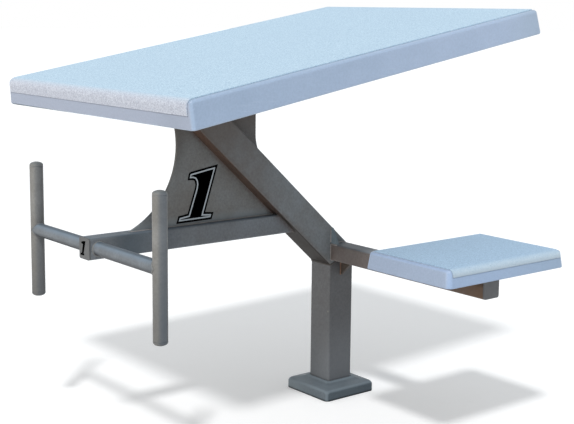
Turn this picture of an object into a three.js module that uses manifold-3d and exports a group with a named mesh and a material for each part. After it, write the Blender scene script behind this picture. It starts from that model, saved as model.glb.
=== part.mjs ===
// Swimming starting block with a sloped platform, side step, backstroke grips and a single post.
// Millimetres, +Z up. The origin is the post's axis at deck level. -Y looks at the pool and the
// side step reaches out to +X.

import * as THREE from 'three';
import { mergeVertices } from 'three/addons/utils/BufferGeometryUtils.js';
import Module from 'manifold-3d';

const wasm = await Module();
wasm.setup();

// Clearances and rounding counts
const seatGap = 0.3;
const cutOverrun = 20;
const roundSegments = 48;
const fastenerSegments = 24;
const cornerSegments = 6;
const rimSteps = 5;

// Steel post and the diagonal arm that carries on from it
const postWidth = 60;
const postWall = 4;
const postCornerRadius = 4;
const elbowHeight = 268;
const diagonalDegrees = 42.3;

// Light rectangular tube, used for the front rail and for the step arm
const tubeNarrow = 34;
const tubeBroad = 38;
const tubeWall = 3;
const tubeCornerRadius = 4;
const capThickness = 3;

// Front rail
const railRise = 112;
const railReach = 565;
const railCapSpigot = 3;

// Plate stock for gussets and mounting plates
const plateThickness = 6;
const gussetWaistReach = 375;
const gussetCurveRadius = 158;
const gussetCurveRise = 148;
const gussetTopDegrees = 45;
const rearGussetReach = 198;
const rearGussetFillet = 80;
const armTopGussetLength = 20;
const armTopGussetHeight = 32;
const armUnderGussetLength = 36;
const armUnderGussetHeight = 33;

// Backstroke grips
const gripDiameter = 25;
const gripWall = 2.5;
const gripSpacing = 420;
const gripLength = 254;
const gripSetback = 19.5;
const gripDomeHeight = 6;
const gripPlugRim = 2;
const gripPlugSpigot = 14;
const gripPlugDraft = 1;

// Platform: the slab is described in its own frame, front edge first
const platformWidth = 610;
const platformLength = 813;
const platformHeight = 47;
const platformSlopeDegrees = 10;
const platformFrontReach = 548;
const platformFrontHeight = 588.5;
const platformWall = 6;
const platformSkin = 4;
const platformFlare = 3;
const platformCornerRadius = 8;
const platformRimRadius = 7;
const platformNoseRadius = 12;
const platformTreadDrop = 24.5;
const platformTreadMargin = 8;
const platformTreadThickness = 4;
const platformTreadProud = 2;
const platformCoreRecess = 4;
const platformPlateWidth = 160;
const platformPlateLength = 262;
const platformPlateStart = 116;
const platformPlateCorner = 10;
const platformBoltRows = 3;
const platformBoltInset = 22;
const platformBoltShank = 26;

// Side step, a smaller slab of the same make
const stepWidth = 292;
const stepLength = 205;
const stepHeight = 31;
const stepOuterReach = 465;
const stepWall = 6;
const stepSkin = 4;
const stepFlare = 3;
const stepCornerRadius = 11;
const stepRimRadius = 6;
const stepNoseRadius = 11;
const stepTreadDrop = 12.5;
const stepTreadMargin = 8;
const stepTreadThickness = 4;
const stepTreadProud = 1.5;
const stepCoreRecess = 0.1;
const stepPlateLength = 120;
const stepPlateWidth = 170;
const stepPlateCorner = 8;
const stepBoltInset = 18;
const stepBoltShank = 18;

// Step arm
const armRise = 9.7;
const armReach = 435.5;
const armCapSpigot = 10;

// Base: plate, deck anchors and the loose cover that hides them
const basePlateWidth = 112;
const basePlateThickness = 8;
const basePlateCorner = 6;
const anchorSpacing = 84;
const coverWidth = 127;
const coverHeight = 29.5;
const coverRimHeight = 22.5;
const coverWall = 3;
const coverCornerRadius = 9;
const coverCrownRadius = 5;
const coverRimRadius = 4;
const coverRimSteps = 3;
const coverPostClearance = 1;

// M10 hexagon bolt and washer, used throughout
const boltDiameter = 10;
const boltHeadAcross = 17;
const boltHeadHeight = 6.4;
const boltHoleClearance = 0.5;
const washerDiameter = 20;
const washerThickness = 2;

// Finishes
const finishes = {
  paintedSteel: { color: '#5c6164', roughness: 0.45, metalness: 0.2 },
  gripPaint: { color: '#74777a', roughness: 0.4, metalness: 0.2 },
  coverPaint: { color: '#55616b', roughness: 0.45, metalness: 0.1 },
  shellPlastic: { color: '#9dadc6', roughness: 0.35, metalness: 0 },
  treadGrit: { color: '#bcd9ec', roughness: 0.9, metalness: 0 },
  coreBoard: { color: '#8f9bb3', roughness: 0.7, metalness: 0 },
  blackPlastic: { color: '#4c4f50', roughness: 0.6, metalness: 0 },
  stainless: { color: '#b4b6b5', roughness: 0.35, metalness: 1 },
};

const radians = THREE.MathUtils.degToRad;
const diagonalAngle = radians(diagonalDegrees);
const mitreAngle = (Math.PI / 2 - diagonalAngle) / 2;
const platformSlope = radians(platformSlopeDegrees);
const postHalf = postWidth / 2;

const startingBlock = new THREE.Group();
const platform = new THREE.Group();
const sideStep = new THREE.Group();
startingBlock.add(platform, sideStep);

// Closed mesh to boolean solid and back

function solidOf(geometry) {
  const plain = geometry.clone();
  plain.deleteAttribute('normal');
  plain.deleteAttribute('uv');
  const welded = mergeVertices(plain);
  const vertProperties = Float32Array.from(welded.attributes.position.array);
  const triVerts = Uint32Array.from(welded.index.array);
  return new wasm.Manifold(new wasm.Mesh({ numProp: 3, vertProperties, triVerts }));
}

function geometryOf(solid) {
  const mesh = solid.getMesh();
  const geometry = new THREE.BufferGeometry();
  geometry.setAttribute('position', new THREE.BufferAttribute(mesh.vertProperties, 3));
  geometry.setIndex(new THREE.BufferAttribute(mesh.triVerts, 1));
  return geometry;
}

function cut(geometry, ...tools) {
  let solid = solidOf(geometry);
  for (const tool of tools) {
    solid = solid.subtract(solidOf(tool));
  }
  return geometryOf(solid);
}

function join(geometry, ...others) {
  let solid = solidOf(geometry);
  for (const other of others) {
    solid = solid.add(solidOf(other));
  }
  return geometryOf(solid);
}

function place(name, geometry, finish, owner = startingBlock) {
  const mesh = new THREE.Mesh(geometry, new THREE.MeshStandardMaterial(finish));
  mesh.name = name;
  owner.add(mesh);
  return mesh;
}

// Basic forms

function block(x, y, z) {
  const form = new THREE.BoxGeometry(x[1] - x[0], y[1] - y[0], z[1] - z[0]);
  return form.translate((x[0] + x[1]) / 2, (y[0] + y[1]) / 2, (z[0] + z[1]) / 2);
}

function roundedOutline(width, height, radius) {
  const halfX = width / 2 - radius;
  const halfY = height / 2 - radius;
  const outline = new THREE.Shape();
  outline.absarc(halfX, halfY, radius, 0, Math.PI / 2);
  outline.absarc(-halfX, halfY, radius, Math.PI / 2, Math.PI);
  outline.absarc(-halfX, -halfY, radius, Math.PI, Math.PI * 1.5);
  outline.absarc(halfX, -halfY, radius, Math.PI * 1.5, Math.PI * 2);
  outline.closePath();
  return outline;
}

function extrude(outline, depth, curveSegments = cornerSegments) {
  return new THREE.ExtrudeGeometry(outline, { depth, curveSegments, bevelEnabled: false });
}

function tubeForm(width, height, wall, radius, length) {
  const outline = roundedOutline(width, height, radius);
  outline.holes.push(roundedOutline(width - wall * 2, height - wall * 2, radius - wall / 2));
  return extrude(outline, length);
}

function rod(radius, length, segments = roundSegments) {
  const form = new THREE.CylinderGeometry(radius, radius, length, segments);
  return form.rotateX(Math.PI / 2).translate(0, 0, length / 2);
}

// Extrusion of an outline drawn in (Y, Z), centred on X = 0
function sidePlate(outline, thickness, curveSegments = cornerSegments) {
  const form = extrude(outline, thickness, curveSegments).translate(0, 0, -thickness / 2);
  const turn = new THREE.Matrix4().makeBasis(
    new THREE.Vector3(0, 1, 0),
    new THREE.Vector3(0, 0, 1),
    new THREE.Vector3(1, 0, 0),
  );
  return form.applyMatrix4(turn);
}

// A half space as a large block: its face passes through the point (y, z) and rises along +Y
const halfSpaceSpan = platformLength * 2;

function above(y, z, angle) {
  const form = block(
    [-halfSpaceSpan / 2, halfSpaceSpan / 2],
    [-halfSpaceSpan / 2, halfSpaceSpan / 2],
    [0, halfSpaceSpan],
  );
  return form.rotateX(angle).translate(0, y, z);
}

function below(y, z, angle) {
  const form = block(
    [-halfSpaceSpan / 2, halfSpaceSpan / 2],
    [-halfSpaceSpan / 2, halfSpaceSpan / 2],
    [-halfSpaceSpan, 0],
  );
  return form.rotateX(angle).translate(0, y, z);
}

// Loft through rounded rectangles {inset, radius, height} of a slab that starts at y = 0
function slabLoft(width, length, levels) {
  const rings = levels.map(({ inset, radius, height }) => {
    const outline = roundedOutline(width - inset * 2, length - inset * 2, radius);
    const points = outline.getPoints(cornerSegments);
    points.pop();
    return points.map((p) => [p.x, p.y + length / 2, height]);
  });
  const count = rings[0].length;
  const positions = rings.flat(2);
  const index = [];
  for (let ring = 0; ring + 1 < rings.length; ring += 1) {
    for (let i = 0; i < count; i += 1) {
      const a = ring * count + i;
      const b = ring * count + ((i + 1) % count);
      index.push(a, b, b + count, a, b + count, a + count);
    }
  }
  const last = (rings.length - 1) * count;
  for (let i = 1; i + 1 < count; i += 1) {
    index.push(0, i + 1, i);
    index.push(last, last + i, last + i + 1);
  }
  const geometry = new THREE.BufferGeometry();
  geometry.setAttribute('position', new THREE.Float32BufferAttribute(positions, 3));
  geometry.setIndex(index);
  return geometry;
}

// Fasteners: underside of the head at z = 0, shank downwards

function hexBolt(shankLength) {
  const headRadius = boltHeadAcross / 2 / Math.cos(Math.PI / 6);
  const head = rod(headRadius, boltHeadHeight, 6);
  const shank = rod(boltDiameter / 2, shankLength + boltHeadHeight / 2, fastenerSegments);
  return join(head, shank.translate(0, 0, -shankLength));
}

function washer() {
  const outline = new THREE.Shape().absarc(0, 0, washerDiameter / 2, 0, Math.PI * 2);
  const hole = new THREE.Path().absarc(0, 0, boltDiameter / 2 + seatGap, 0, Math.PI * 2);
  outline.holes.push(hole);
  return extrude(outline, washerThickness, fastenerSegments / 2);
}

function boltHole(x, y, bottom, top) {
  const radius = boltDiameter / 2 + boltHoleClearance;
  return rod(radius, top - bottom, fastenerSegments).translate(x, y, bottom);
}

// Slab parts shared by the platform and the step. The nose is at y = 0 and the tread wraps over it.

// Centre of the nose's curve, which runs on into the sloping front face
function noseCentre(size) {
  const z = size.height - size.noseRadius;
  return { y: size.noseRadius + (size.flare * z) / (size.height - size.rimRadius), z };
}

function slabShell(size) {
  const levels = [{ inset: 0, radius: size.cornerRadius, height: 0 }];
  for (let i = 0; i <= rimSteps; i += 1) {
    const turn = ((i / rimSteps) * Math.PI) / 2;
    const rimInset = size.rimRadius * (1 - Math.cos(turn));
    levels.push({
      inset: size.flare + rimInset,
      radius: size.cornerRadius - rimInset,
      height: size.height - size.rimRadius * (1 - Math.sin(turn)),
    });
  }
  const bottomWidth = size.width + size.flare * 2;
  const body = slabLoft(bottomWidth, size.length, levels);
  const centre = noseCentre(size);
  const noseCut = new THREE.Shape();
  noseCut.moveTo(centre.y, size.height);
  noseCut.absarc(centre.y, centre.z, size.noseRadius, Math.PI / 2, Math.PI);
  noseCut.lineTo(-cutOverrun, centre.z);
  noseCut.lineTo(-cutOverrun, size.height + cutOverrun);
  noseCut.lineTo(centre.y, size.height + cutOverrun);
  noseCut.closePath();
  const cavityHalf = size.width / 2 - size.wall;
  const cavity = block(
    [-cavityHalf, cavityHalf],
    [size.flare + size.wall, size.length - size.flare - size.wall],
    [-cutOverrun, size.height - size.skin - size.treadThickness],
  );
  const acrossSlab = bottomWidth + cutOverrun * 2;
  const seat = treadForm(size, seatGap, size.treadMargin - seatGap * 2, cutOverrun);
  return cut(body, sidePlate(noseCut, acrossSlab, roundSegments / 4), cavity, seat);
}

// Tread profile in (Y, Z). Grown by a gap and an overrun, it is also the seat cut in the shell.
function treadForm(size, gap, margin, overrun) {
  const centre = noseCentre(size);
  const outer = size.noseRadius + size.treadProud + overrun;
  const inner = size.noseRadius + size.treadProud - size.treadThickness - gap;
  const rear = size.length - size.flare - margin;
  const foot = size.height - size.treadDrop - gap;
  const profile = new THREE.Shape();
  profile.moveTo(rear, centre.z + inner);
  profile.lineTo(rear, centre.z + outer);
  profile.absarc(centre.y, centre.z, outer, Math.PI / 2, Math.PI);
  profile.lineTo(centre.y - outer, foot);
  profile.lineTo(centre.y - inner, foot);
  profile.absarc(centre.y, centre.z, inner, Math.PI, Math.PI / 2, true);
  profile.closePath();
  return sidePlate(profile, size.width - margin * 2, roundSegments / 4);
}

function slabTread(size) {
  return treadForm(size, 0, size.treadMargin, 0);
}

function slabCore(size, holes) {
  const coreHalf = size.width / 2 - size.wall - seatGap;
  const core = block(
    [-coreHalf, coreHalf],
    [size.flare + size.wall + seatGap, size.length - size.flare - size.wall - seatGap],
    [size.coreRecess, size.height - size.skin - size.treadThickness - seatGap],
  );
  const depth = size.boltShank + seatGap;
  const bores = holes.map(([x, y]) => boltHole(x, y, -cutOverrun, size.coreRecess + depth));
  return cut(core, ...bores);
}

// Main post, mitred at the elbow

function mainPost() {
  const foot = basePlateThickness + seatGap;
  const outer = tubeForm(postWidth, postWidth, postWall, postCornerRadius, elbowHeight + postWidth);
  return cut(outer.translate(0, 0, foot), above(-postHalf, elbowHeight, mitreAngle));
}

// Diagonal arm from the elbow up to the platform's mounting plate
const plateUnderside = platformCoreRecess - seatGap - plateThickness;

function platformPoint(along, up) {
  return {
    y: -platformFrontReach + along * Math.cos(platformSlope) - up * Math.sin(platformSlope),
    z: platformFrontHeight + along * Math.sin(platformSlope) + up * Math.cos(platformSlope),
  };
}

const frameTop = platformPoint(0, plateUnderside - seatGap);

function aboveFrame() {
  return above(frameTop.y, frameTop.z, platformSlope);
}

function diagonalArm() {
  const elbowMiddle = elbowHeight + postHalf * Math.tan(mitreAngle);
  const tube = tubeForm(postWidth, postWidth, postWall, postCornerRadius, platformLength);
  tube.translate(0, 0, -postWidth);
  tube.rotateX(Math.PI / 2 - diagonalAngle).translate(0, 0, elbowMiddle);
  const mitre = below(-postHalf, elbowHeight + seatGap / Math.cos(mitreAngle), mitreAngle);
  return cut(tube, mitre, aboveFrame());
}

// Heights of the diagonal's lower and upper faces above a point on Y, with the weld gap

function diagonalUnderside(y) {
  return elbowHeight - (y + postHalf) * Math.tan(diagonalAngle) - seatGap / Math.cos(diagonalAngle);
}

function diagonalTopside(y) {
  const thickness = (postWidth + seatGap) / Math.cos(diagonalAngle);
  return elbowHeight - (y + postHalf) * Math.tan(diagonalAngle) + thickness;
}

// Front rail, its closing cap and the crossbar holes
const railTopHeight = elbowHeight + railRise;
const railMiddleHeight = railTopHeight - tubeBroad / 2;
const gripReach = railReach - gripSetback;

function alongRail(form) {
  return form.rotateX(Math.PI / 2);
}

function frontRail() {
  const front = -railReach + capThickness + seatGap;
  const tube = alongRail(tubeForm(tubeNarrow, tubeBroad, tubeWall, tubeCornerRadius, railReach));
  tube.translate(0, front + railReach, railMiddleHeight);
  const hole = rod(gripDiameter / 2 + seatGap, tubeNarrow * 2).rotateY(Math.PI / 2);
  hole.translate(-tubeNarrow, -gripReach, railMiddleHeight);
  return cut(tube, above(-postHalf, diagonalUnderside(-postHalf), -diagonalAngle), hole);
}

function tubeCap(spigotLength) {
  const inside = tubeWall + seatGap;
  const plate = extrude(roundedOutline(tubeNarrow, tubeBroad, tubeCornerRadius), capThickness);
  const spigot = extrude(
    roundedOutline(tubeNarrow - inside * 2, tubeBroad - inside * 2, tubeCornerRadius - tubeWall / 2),
    spigotLength + capThickness,
  );
  return join(plate, spigot);
}

// Gusset between the rail, the diagonal and the pool side, with its hollow front edge

function gussetPlate() {
  const foot = railTopHeight + seatGap;
  const centreY = -gussetWaistReach - gussetCurveRadius;
  const centreZ = railTopHeight + gussetCurveRise;
  const toeAngle = Math.asin((foot - centreZ) / gussetCurveRadius);
  const topAngle = radians(gussetTopDegrees);
  const outline = new THREE.Shape();
  outline.moveTo(-postHalf, centreZ + gussetCurveRadius * Math.sin(topAngle));
  outline.lineTo(-postHalf, foot);
  outline.absarc(centreY, centreZ, gussetCurveRadius, toeAngle, topAngle);
  outline.closePath();
  const plate = sidePlate(outline, plateThickness, roundSegments / 2);
  return cut(plate, above(-postHalf, diagonalUnderside(-postHalf), -diagonalAngle), aboveFrame());
}

// Gusset behind the diagonal, filleted into its upper face

function rearGusset() {
  const topAt = (y) => frameTop.z + (y - frameTop.y) * Math.tan(platformSlope);
  const slopes = Math.tan(diagonalAngle) + Math.tan(platformSlope);
  const tipY = -rearGussetReach - (topAt(-rearGussetReach) - diagonalTopside(-rearGussetReach)) / slopes;
  const spread = Math.PI / 2 - diagonalAngle;
  const tangent = rearGussetFillet * Math.tan(spread / 2);
  const filletZ = diagonalTopside(-rearGussetReach) + tangent;
  const outline = new THREE.Shape();
  outline.moveTo(-rearGussetReach, topAt(-rearGussetReach));
  outline.lineTo(tipY, topAt(tipY));
  outline.absarc(
    -rearGussetReach + rearGussetFillet,
    filletZ,
    rearGussetFillet,
    Math.PI + spread,
    Math.PI,
    true,
  );
  outline.closePath();
  return sidePlate(outline, plateThickness, roundSegments / 4);
}

// Backstroke grips: a crossbar through the rail and two upright bars welded to its ends
const gripRadius = gripDiameter / 2;
const gripTubeLength = gripLength - (gripPlugRim + gripDomeHeight) * 2;

function roundTube(length) {
  const inner = gripRadius - gripWall;
  const profile = [
    new THREE.Vector2(inner, 0),
    new THREE.Vector2(gripRadius, 0),
    new THREE.Vector2(gripRadius, length),
    new THREE.Vector2(inner, length),
    new THREE.Vector2(inner, 0),
  ];
  return new THREE.LatheGeometry(profile, roundSegments).rotateX(Math.PI / 2);
}

function gripCrossbar() {
  const tube = roundTube(gripSpacing).rotateY(Math.PI / 2);
  tube.translate(-gripSpacing / 2, -gripReach, railMiddleHeight);
  const copes = [-1, 1].map((side) => {
    const cope = rod(gripRadius + seatGap, gripLength);
    return cope.translate((side * gripSpacing) / 2, -gripReach, railMiddleHeight - gripLength / 2);
  });
  return cut(tube, ...copes);
}

// End plug of a grip bar, standing on z = 0 with its dome upwards
function gripPlug() {
  const spigotRadius = gripRadius - gripWall - seatGap;
  const profile = [
    new THREE.Vector2(0, -gripPlugSpigot),
    new THREE.Vector2(spigotRadius - gripPlugDraft, -gripPlugSpigot),
    new THREE.Vector2(spigotRadius, -gripPlugSpigot + gripPlugDraft * 2),
    new THREE.Vector2(spigotRadius, seatGap),
    new THREE.Vector2(gripRadius, seatGap),
    new THREE.Vector2(gripRadius, gripPlugRim),
  ];
  for (let i = 1; i <= rimSteps; i += 1) {
    const turn = ((i / rimSteps) * Math.PI) / 2;
    const radius = i === rimSteps ? 0 : gripRadius * Math.cos(turn);
    profile.push(new THREE.Vector2(radius, gripPlugRim + gripDomeHeight * Math.sin(turn)));
  }
  return new THREE.LatheGeometry(profile, roundSegments).rotateX(Math.PI / 2);
}

// Step arm along +X, flush with the front of the post, with its cap and the two small gussets
const armBottomHeight = elbowHeight + armRise;
const armTopHeight = armBottomHeight + tubeNarrow;
const armMiddleY = -postHalf + tubeBroad / 2;

function armSection(form) {
  const turn = new THREE.Matrix4().makeBasis(
    new THREE.Vector3(0, 0, 1),
    new THREE.Vector3(0, 1, 0),
    new THREE.Vector3(-1, 0, 0),
  );
  return form.applyMatrix4(turn);
}

function stepArm() {
  const start = postHalf + seatGap;
  const length = armReach - capThickness - seatGap - start;
  const tube = armSection(tubeForm(tubeNarrow, tubeBroad, tubeWall, tubeCornerRadius, length));
  return tube.translate(start + length, armMiddleY, armBottomHeight + tubeNarrow / 2);
}

function cornerGusset(length, height) {
  const outline = new THREE.Shape();
  outline.moveTo(0, 0);
  outline.lineTo(length, 0);
  outline.lineTo(0, height);
  outline.closePath();
  const form = extrude(outline, plateThickness);
  return form.rotateX(Math.PI / 2);
}

// Base plate, deck anchors and cover

function basePlate() {
  const plate = extrude(
    roundedOutline(basePlateWidth, basePlateWidth, basePlateCorner),
    basePlateThickness,
  );
  const holes = corners(anchorSpacing, anchorSpacing).map(([x, y]) =>
    boltHole(x, y, -cutOverrun, basePlateThickness + cutOverrun),
  );
  return cut(plate, ...holes);
}

function corners(width, length) {
  return [
    [-width / 2, -length / 2],
    [width / 2, -length / 2],
    [width / 2, length / 2],
    [-width / 2, length / 2],
  ];
}

// Outer or inner surface of the cover: upright sides, a rounded rim and a top that rises to the post
function coverForm(inset, foot) {
  const crownInset = (coverWidth - postWidth) / 2 - coverPostClearance - coverWall;
  const levels = [{ inset, radius: coverCornerRadius - inset, height: foot }];
  for (let i = 0; i <= coverRimSteps; i += 1) {
    const turn = ((i / coverRimSteps) * Math.PI) / 2;
    const rimInset = inset + coverRimRadius * (1 - Math.cos(turn));
    levels.push({
      inset: rimInset,
      radius: coverCornerRadius - rimInset,
      height: coverRimHeight - inset - coverRimRadius * (1 - Math.sin(turn)),
    });
  }
  levels.push({ inset: crownInset, radius: coverCrownRadius, height: coverHeight - inset });
  return slabLoft(coverWidth, coverWidth, levels).translate(0, -coverWidth / 2, 0);
}

function baseCover() {
  const holeWidth = postWidth + coverPostClearance * 2;
  const hole = extrude(
    roundedOutline(holeWidth, holeWidth, postCornerRadius + coverPostClearance),
    coverHeight + cutOverrun * 2,
  );
  return cut(coverForm(0, 0), coverForm(coverWall, -cutOverrun), hole.translate(0, 0, -cutOverrun));
}

// Mounting plates, drilled for their bolts

function drilledPlate(width, length, corner, places) {
  const plate = extrude(roundedOutline(width, length, corner), plateThickness);
  const holes = places.map(([x, y]) =>
    boltHole(x, y, -cutOverrun, plateThickness + cutOverrun),
  );
  return cut(plate, ...holes);
}

// Frame
place('main_post', mainPost(), finishes.paintedSteel);
place('diagonal_arm', diagonalArm(), finishes.paintedSteel);
place('front_rail', frontRail(), finishes.paintedSteel);
place('gusset_plate', gussetPlate(), finishes.paintedSteel);
place('rear_gusset', rearGusset(), finishes.paintedSteel);
const railCap = alongRail(tubeCap(railCapSpigot)).rotateZ(Math.PI);
place('rail_end_cap', railCap, finishes.blackPlastic).position.set(0, -railReach, railMiddleHeight);

// Grips
place('grip_crossbar', gripCrossbar(), finishes.gripPaint);
for (const [sideName, side] of [['left', -1], ['right', 1]]) {
  const x = (side * gripSpacing) / 2;
  const bar = roundTube(gripTubeLength).translate(x, -gripReach, railMiddleHeight - gripTubeLength / 2);
  place(`grip_bar_${sideName}`, bar, finishes.gripPaint);
  for (const [endName, end] of [['top', 1], ['bottom', -1]]) {
    const plug = gripPlug().rotateX(end > 0 ? 0 : Math.PI);
    const height = railMiddleHeight + (end * gripTubeLength) / 2;
    place(`grip_plug_${sideName}_${endName}`, plug, finishes.gripPaint).position.set(x, -gripReach, height);
  }
}

// Step arm
place('step_arm', stepArm(), finishes.paintedSteel);
const armCap = armSection(tubeCap(armCapSpigot));
armCap.translate(armReach, armMiddleY, armBottomHeight + tubeNarrow / 2);
place('step_arm_end_cap', armCap, finishes.blackPlastic);
const topGusset = cornerGusset(armTopGussetLength, armTopGussetHeight);
topGusset.translate(postHalf + seatGap, -postHalf + plateThickness, armTopHeight + seatGap);
place('arm_top_gusset', topGusset, finishes.paintedSteel);
const underGusset = cornerGusset(armUnderGussetLength, armUnderGussetHeight).rotateX(Math.PI);
underGusset.translate(postHalf + seatGap, -plateThickness / 2, armBottomHeight - seatGap);
place('arm_under_gusset', underGusset, finishes.paintedSteel);

// Base
place('base_plate', basePlate(), finishes.paintedSteel);
place('base_cover', baseCover(), finishes.coverPaint);
corners(anchorSpacing, anchorSpacing).forEach(([x, y], i) => {
  const washerFoot = basePlateThickness + seatGap;
  const headFoot = washerFoot + washerThickness + seatGap;
  place(`anchor_washer_${i + 1}`, washer(), finishes.stainless).position.set(x, y, washerFoot);
  place(`anchor_bolt_${i + 1}`, hexBolt(headFoot), finishes.stainless).position.set(x, y, headFoot);
});

// Platform
platform.position.set(0, -platformFrontReach, platformFrontHeight);
platform.rotation.x = platformSlope;
const platformSize = {
  width: platformWidth,
  length: platformLength,
  height: platformHeight,
  wall: platformWall,
  skin: platformSkin,
  flare: platformFlare,
  cornerRadius: platformCornerRadius,
  rimRadius: platformRimRadius,
  noseRadius: platformNoseRadius,
  treadDrop: platformTreadDrop,
  treadMargin: platformTreadMargin,
  treadThickness: platformTreadThickness,
  treadProud: platformTreadProud,
  coreRecess: platformCoreRecess,
  boltShank: platformBoltShank,
};
const platformBoltSpan = platformPlateLength - platformBoltInset * 2;
const platformPlateMiddle = platformPlateStart + platformPlateLength / 2;
const platformBoltPlaces = [];
for (let row = 0; row < platformBoltRows; row += 1) {
  const along = (row / (platformBoltRows - 1) - 1 / 2) * platformBoltSpan;
  for (const side of [-1, 1]) {
    platformBoltPlaces.push([side * (platformPlateWidth / 2 - platformBoltInset), along]);
  }
}
const platformCorePlaces = platformBoltPlaces.map(([x, y]) => [x, y + platformPlateMiddle]);
place('platform_shell', slabShell(platformSize), finishes.shellPlastic, platform);
place('platform_tread', slabTread(platformSize), finishes.treadGrit, platform);
place('platform_core', slabCore(platformSize, platformCorePlaces), finishes.coreBoard, platform);
const platformPlate = drilledPlate(
  platformPlateWidth,
  platformPlateLength,
  platformPlateCorner,
  platformBoltPlaces,
);
place('platform_mount_plate', platformPlate, finishes.paintedSteel, platform).position.set(
  0,
  platformPlateMiddle,
  plateUnderside,
);
platformCorePlaces.forEach(([x, y], i) => {
  const bolt = hexBolt(platformBoltShank).rotateX(Math.PI);
  const washerTop = plateUnderside - seatGap;
  const headTop = washerTop - washerThickness - seatGap;
  const washerPlace = place(`platform_washer_${i + 1}`, washer(), finishes.stainless, platform);
  washerPlace.position.set(x, y, washerTop - washerThickness);
  place(`platform_bolt_${i + 1}`, bolt, finishes.stainless, platform).position.set(x, y, headTop);
});

// Side step, turned so that its nose looks along +X
const stepPlateFoot = armTopHeight + seatGap;
const stepBottomHeight = stepPlateFoot + plateThickness + seatGap - stepCoreRecess;
sideStep.position.set(stepOuterReach, 0, stepBottomHeight);
sideStep.rotation.z = Math.PI / 2;
const stepSize = {
  width: stepWidth,
  length: stepLength,
  height: stepHeight,
  wall: stepWall,
  skin: stepSkin,
  flare: stepFlare,
  cornerRadius: stepCornerRadius,
  rimRadius: stepRimRadius,
  noseRadius: stepNoseRadius,
  treadDrop: stepTreadDrop,
  treadMargin: stepTreadMargin,
  treadThickness: stepTreadThickness,
  treadProud: stepTreadProud,
  coreRecess: stepCoreRecess,
  boltShank: stepBoltShank,
};
const stepBoltPlaces = corners(
  stepPlateWidth - stepBoltInset * 2,
  stepPlateLength - stepBoltInset * 2,
);
const stepCorePlaces = stepBoltPlaces.map(([x, y]) => [x, y + stepLength / 2]);
place('step_shell', slabShell(stepSize), finishes.shellPlastic, sideStep);
place('step_tread', slabTread(stepSize), finishes.treadGrit, sideStep);
place('step_core', slabCore(stepSize, stepCorePlaces), finishes.coreBoard, sideStep);
const stepPlate = drilledPlate(stepPlateWidth, stepPlateLength, stepPlateCorner, stepBoltPlaces);
place('step_mount_plate', stepPlate, finishes.paintedSteel, sideStep).position.set(
  0,
  stepLength / 2,
  stepPlateFoot - stepBottomHeight,
);
stepCorePlaces.forEach(([x, y], i) => {
  const bolt = hexBolt(stepBoltShank).rotateX(Math.PI);
  const washerTop = stepPlateFoot - stepBottomHeight - seatGap;
  const headTop = washerTop - washerThickness - seatGap;
  const washerPlace = place(`step_washer_${i + 1}`, washer(), finishes.stainless, sideStep);
  washerPlace.position.set(x, y, washerTop - washerThickness);
  place(`step_bolt_${i + 1}`, bolt, finishes.stainless, sideStep).position.set(x, y, headTop);
});

export default startingBlock;
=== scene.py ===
import math

import bpy
from mathutils import Matrix, Vector


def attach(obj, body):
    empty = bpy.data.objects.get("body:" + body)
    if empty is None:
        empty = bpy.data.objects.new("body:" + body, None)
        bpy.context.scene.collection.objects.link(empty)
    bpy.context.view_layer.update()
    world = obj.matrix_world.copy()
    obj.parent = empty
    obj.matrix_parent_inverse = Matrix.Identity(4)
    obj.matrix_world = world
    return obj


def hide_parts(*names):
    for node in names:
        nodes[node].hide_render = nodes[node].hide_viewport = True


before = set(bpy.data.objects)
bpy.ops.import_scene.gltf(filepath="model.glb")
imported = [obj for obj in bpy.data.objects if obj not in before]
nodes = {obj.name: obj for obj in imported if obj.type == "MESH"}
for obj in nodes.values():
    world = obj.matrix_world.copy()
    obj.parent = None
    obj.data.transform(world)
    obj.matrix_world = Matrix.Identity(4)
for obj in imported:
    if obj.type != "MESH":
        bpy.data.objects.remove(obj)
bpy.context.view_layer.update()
mm = 0.001
alongX, alongY, alongZ = (1, 0, 0), (0, 1, 0), (0, 0, 1)
diagonalSlope = math.radians(42.3)
platformSlope = math.radians(10)
# millimetres and degrees that hold for every worked mesh
meshRules = {"mergeWithin": 0.01, "flatWithin": 0.4, "bevelAbove": 30, "smoothBelow": 38}
print("frame loaded with", len(nodes), "nodes")


# Small helpers

def newPiece(name, data):
    piece = bpy.data.objects.new(name, data)
    bpy.context.scene.collection.objects.link(piece)
    return piece


def makeActive(piece):
    bpy.ops.object.select_all(action="DESELECT")
    piece.select_set(True)
    bpy.context.view_layer.objects.active = piece


def editAll(piece):
    makeActive(piece)
    bpy.ops.object.mode_set(mode="EDIT")
    bpy.ops.mesh.select_mode(type="FACE")
    bpy.ops.mesh.select_all(action="SELECT")


def editFaces(piece, wanted):
    editAll(piece)
    bpy.ops.mesh.select_all(action="DESELECT")
    bpy.ops.object.mode_set(mode="OBJECT")
    for face in piece.data.polygons:
        face.select = wanted(face)
    bpy.ops.object.mode_set(mode="EDIT")


def closeEdit():
    bpy.ops.object.mode_set(mode="OBJECT")


def applyModifier(piece, kind, **settings):
    makeActive(piece)
    modifier = piece.modifiers.new(kind.lower(), kind)
    for name, value in settings.items():
        setattr(modifier, name, value)
    bpy.ops.object.modifier_apply(modifier=modifier.name)


def shadeFlats(piece):
    # keeps the flats flat, so that only the broken edges shade round
    bpy.ops.object.shade_smooth_by_angle(angle=math.radians(meshRules["smoothBelow"]))
    applyModifier(piece, "WEIGHTED_NORMAL", keep_sharp=True)


def breakEdges(piece, width):
    applyModifier(
        piece, "BEVEL", width=width * mm, segments=2,
        limit_method="ANGLE", angle_limit=math.radians(meshRules["bevelAbove"]),
    )
    shadeFlats(piece)


def dress(piece, material):
    piece.data.materials.clear()
    piece.data.materials.append(material)


def standIn(piece, body, slot, *nodeNames):
    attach(piece, body)
    if nodeNames:
        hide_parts(*nodeNames)


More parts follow.
